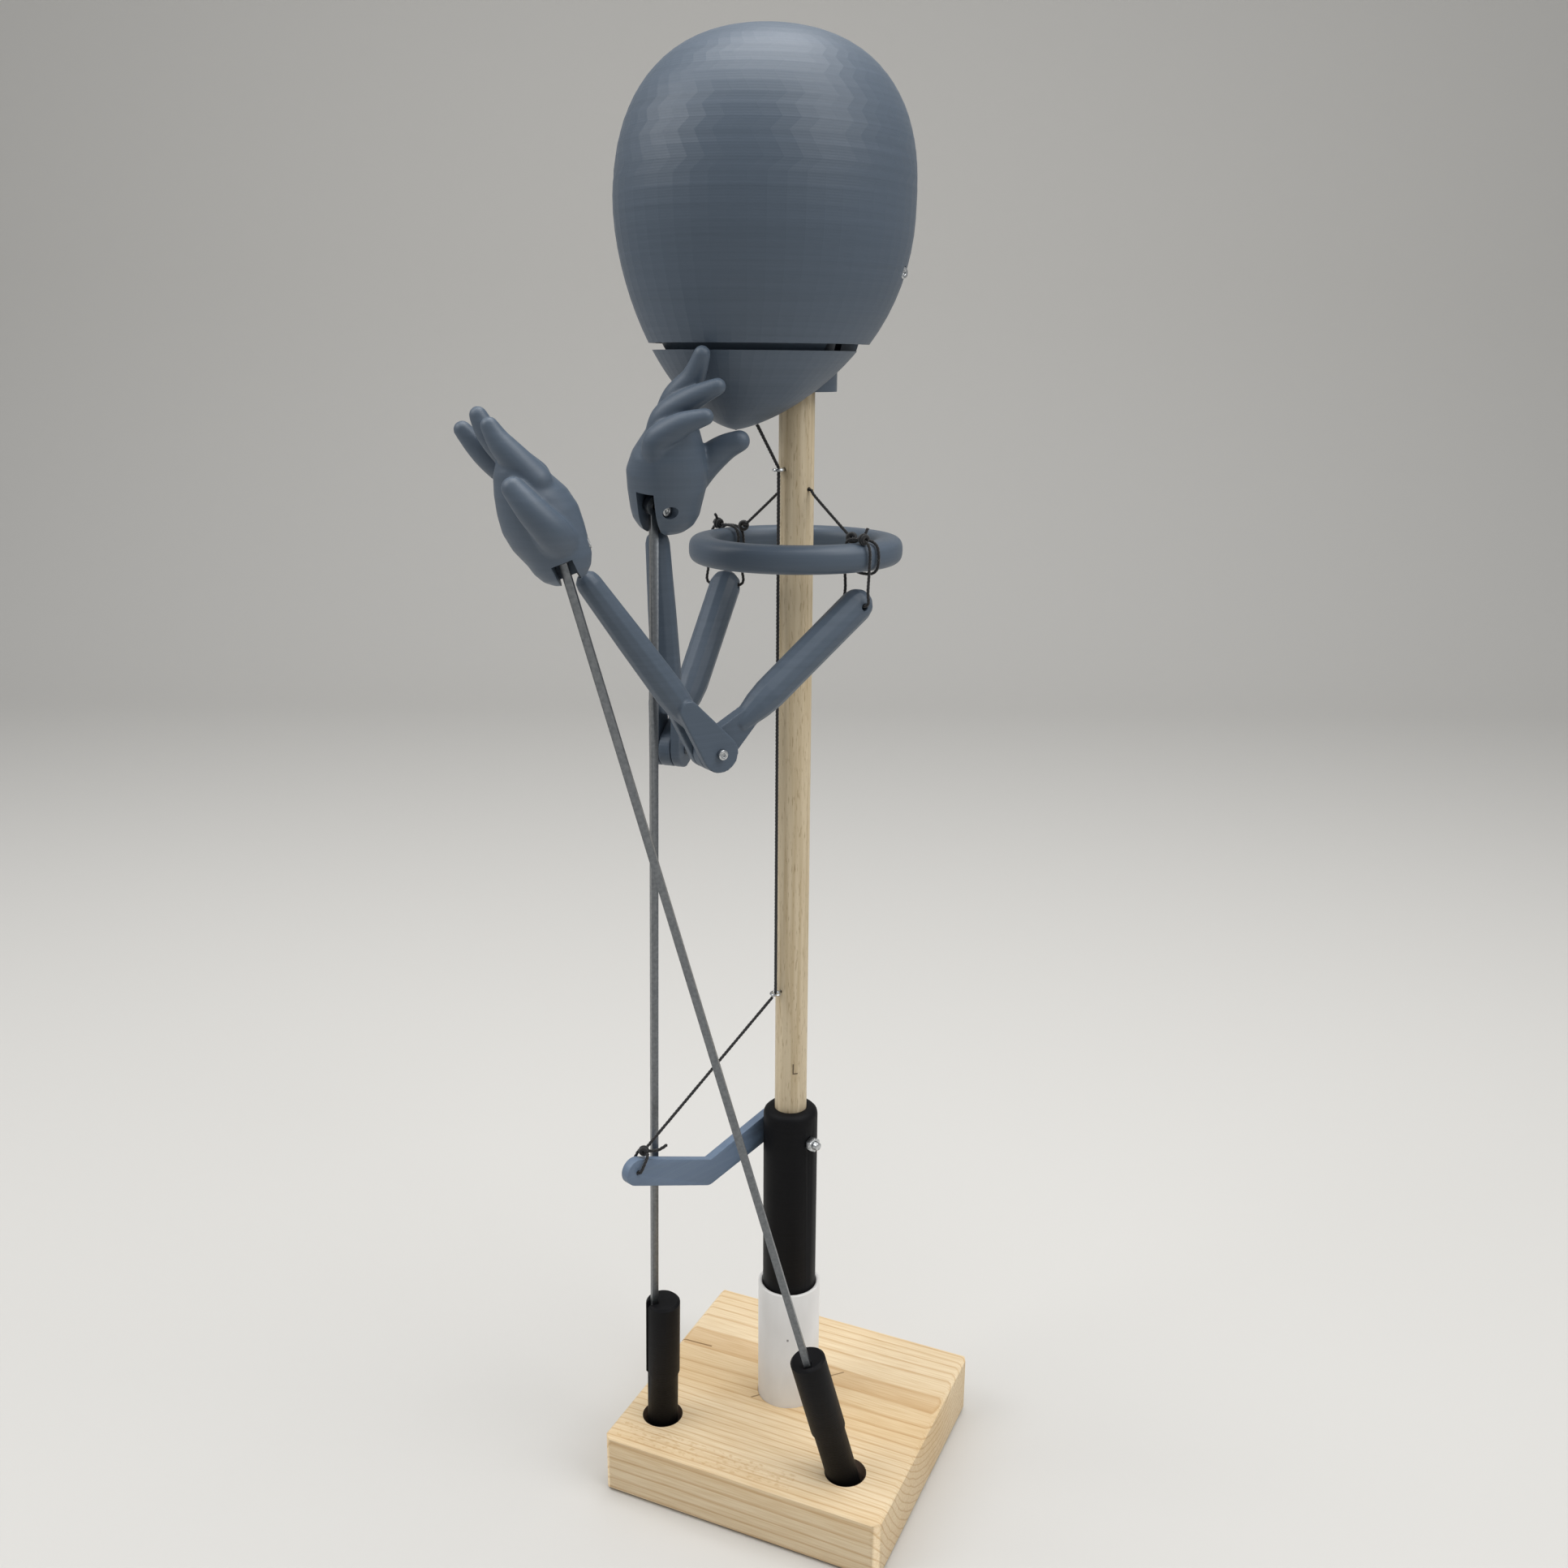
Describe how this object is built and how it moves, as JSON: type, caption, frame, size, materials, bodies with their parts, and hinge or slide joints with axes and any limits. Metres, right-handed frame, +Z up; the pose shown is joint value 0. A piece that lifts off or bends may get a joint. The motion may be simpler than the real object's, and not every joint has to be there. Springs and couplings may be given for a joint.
{
  "type": "rod puppet",
  "caption": "Printed rod puppet with an egg-shaped head, a jaw worked by a trigger, and jointed arms on a ring, each hand guided by a steel rod, parked on a wooden stand.",
  "frame": {"origin": "on the underside of the board, on the axis of the stand tube", "axes": "+Z up along the tube and the main rod, +X across the board to its right, -Y the board's front"},
  "size_m": [0.1923, 0.2865, 0.8645],
  "materials": {
    "pine": "planed pine, eased edges, unfinished",
    "white_pvc": "white drain pipe, satin",
    "dowel_wood": "bare hardwood dowel",
    "black_print": "black printed plastic",
    "lever_print": "grey-blue printed plastic",
    "rod_steel": "bare square steel rod",
    "elastic_cord": "black elastic cord",
    "black_cord": "black braided cord",
    "zinc_steel": "zinc plated screws and eyes",
    "slate_print": "slate blue-grey printed plastic, fine layer lines"
  },
  "bodies": {
    "stand": {"base_board": "pine", "stand_tube": "white_pvc"},
    "puppet": {"main_rod": "dowel_wood", "grip": "black_print", "trigger_bolt": "zinc_steel", "trigger_nut": "zinc_steel", "lower_screw_eye": "zinc_steel", "upper_screw_eye": "zinc_steel", "neck_socket": "slate_print", "neck_screw": "zinc_steel", "head_front": "slate_print", "head_back": "slate_print", "left_hinge_screw": "zinc_steel", "right_hinge_screw": "zinc_steel", "jaw_elastic": "elastic_cord", "shoulder_ring": "slate_print", "ring_cord": "black_cord", "left_shoulder_tie": "black_cord", "right_shoulder_tie": "black_cord", "control_cord_upper": "black_cord", "control_cord_middle": "black_cord", "control_cord_lower": "black_cord"},
    "trigger": {"trigger_lever": "lever_print", "lever_knot": "black_cord"},
    "jaw": {"jaw": "slate_print", "jaw_knot": "black_cord"},
    "left_upper_arm": {"left_upper_arm": "slate_print"},
    "left_forearm": {"left_forearm": "slate_print", "left_elbow_screw": "zinc_steel", "left_elbow_nut": "zinc_steel", "left_wrist_tie": "black_cord"},
    "left_rod": {"left_arm_rod": "rod_steel", "left_rod_handle": "black_print"},
    "left_hand": {"left_hand": "slate_print", "left_wrist_screw": "zinc_steel", "left_wrist_nut": "zinc_steel"},
    "right_upper_arm": {"right_upper_arm": "slate_print"},
    "right_forearm": {"right_forearm": "slate_print", "right_elbow_screw": "zinc_steel", "right_elbow_nut": "zinc_steel", "right_wrist_tie": "black_cord"},
    "right_rod": {"right_arm_rod": "rod_steel", "right_rod_handle": "black_print"},
    "right_hand": {"right_hand": "slate_print", "right_wrist_screw": "zinc_steel", "right_wrist_nut": "zinc_steel"}
  },
  "joints": [
    {"name": "puppet_lift", "type": "slide", "parent": "stand", "child": "puppet", "axis": [0, 0, 1], "range_m": [0, 0.11]},
    {"name": "trigger", "type": "hinge", "parent": "puppet", "child": "trigger", "pos_m": [0, 0, 0.23], "axis": [0.9397, -0.342, 0], "range_deg": [0, 10], "stiffness_Nm_per_rad": 0.6, "springref_deg": -20.05, "deforming": ["control_cord_lower"]},
    {"name": "jaw", "type": "hinge", "parent": "puppet", "child": "jaw", "pos_m": [0.00684, 0.01879, 0.74601], "axis": [0.9397, -0.342, 0], "range_deg": [0, 12.5], "deforming": ["control_cord_upper", "jaw_elastic"]},
    {"name": "left_shoulder", "type": "hinge", "parent": "puppet", "child": "left_upper_arm", "pos_m": [0.04649, -0.0233, 0.573], "axis": [-0.8307, 0.5567, 0], "range_deg": [0, 22]},
    {"name": "left_elbow", "type": "hinge", "parent": "left_upper_arm", "child": "left_forearm", "pos_m": [-0.00368, -0.09816, 0.50317], "axis": [-0.8307, 0.5567, 0], "range_deg": [-9.8, 0]},
    {"name": "left_rod_swing", "type": "hinge", "parent": "left_forearm", "child": "left_rod", "pos_m": [-0.0488, -0.1655, 0.613], "axis": [-0.8307, 0.5567, 0], "range_deg": [-13.2, 0]},
    {"name": "left_wrist", "type": "hinge", "parent": "left_rod", "child": "left_hand", "pos_m": [-0.0445, -0.176, 0.613], "axis": [0.812, 0.4624, 0.3562], "range_deg": [-15, 15]},
    {"name": "right_shoulder", "type": "hinge", "parent": "puppet", "child": "right_upper_arm", "pos_m": [-0.05059, 0.01203, 0.573], "axis": [-0.9968, -0.0801, 0], "range_deg": [0, 12]},
    {"name": "right_elbow", "type": "hinge", "parent": "right_upper_arm", "child": "right_forearm", "pos_m": [-0.04401, -0.06988, 0.49399], "axis": [-0.9968, -0.0801, 0], "range_deg": [-11.9, 0]},
    {"name": "right_rod_swing", "type": "hinge", "parent": "right_forearm", "child": "right_rod", "pos_m": [-0.0427, -0.0862, 0.6295], "axis": [-0.9968, -0.0801, 0], "range_deg": [-2.7, 0]},
    {"name": "right_wrist", "type": "hinge", "parent": "right_rod", "child": "right_hand", "pos_m": [-0.0373, -0.0974, 0.6295], "axis": [-0.8894, 0.4095, 0.2031], "range_deg": [-15, 2]}
  ],
  "couplings": [
    {"joint": "jaw", "follows": "trigger", "ratio": 1.2},
    {"joint": "left_elbow", "follows": "left_shoulder", "ratio": -0.4209},
    {"joint": "left_rod_swing", "follows": "left_shoulder", "ratio": -0.5791},
    {"joint": "right_elbow", "follows": "right_shoulder", "ratio": -0.95},
    {"joint": "right_rod_swing", "follows": "right_shoulder", "ratio": -0.18}
  ]
}
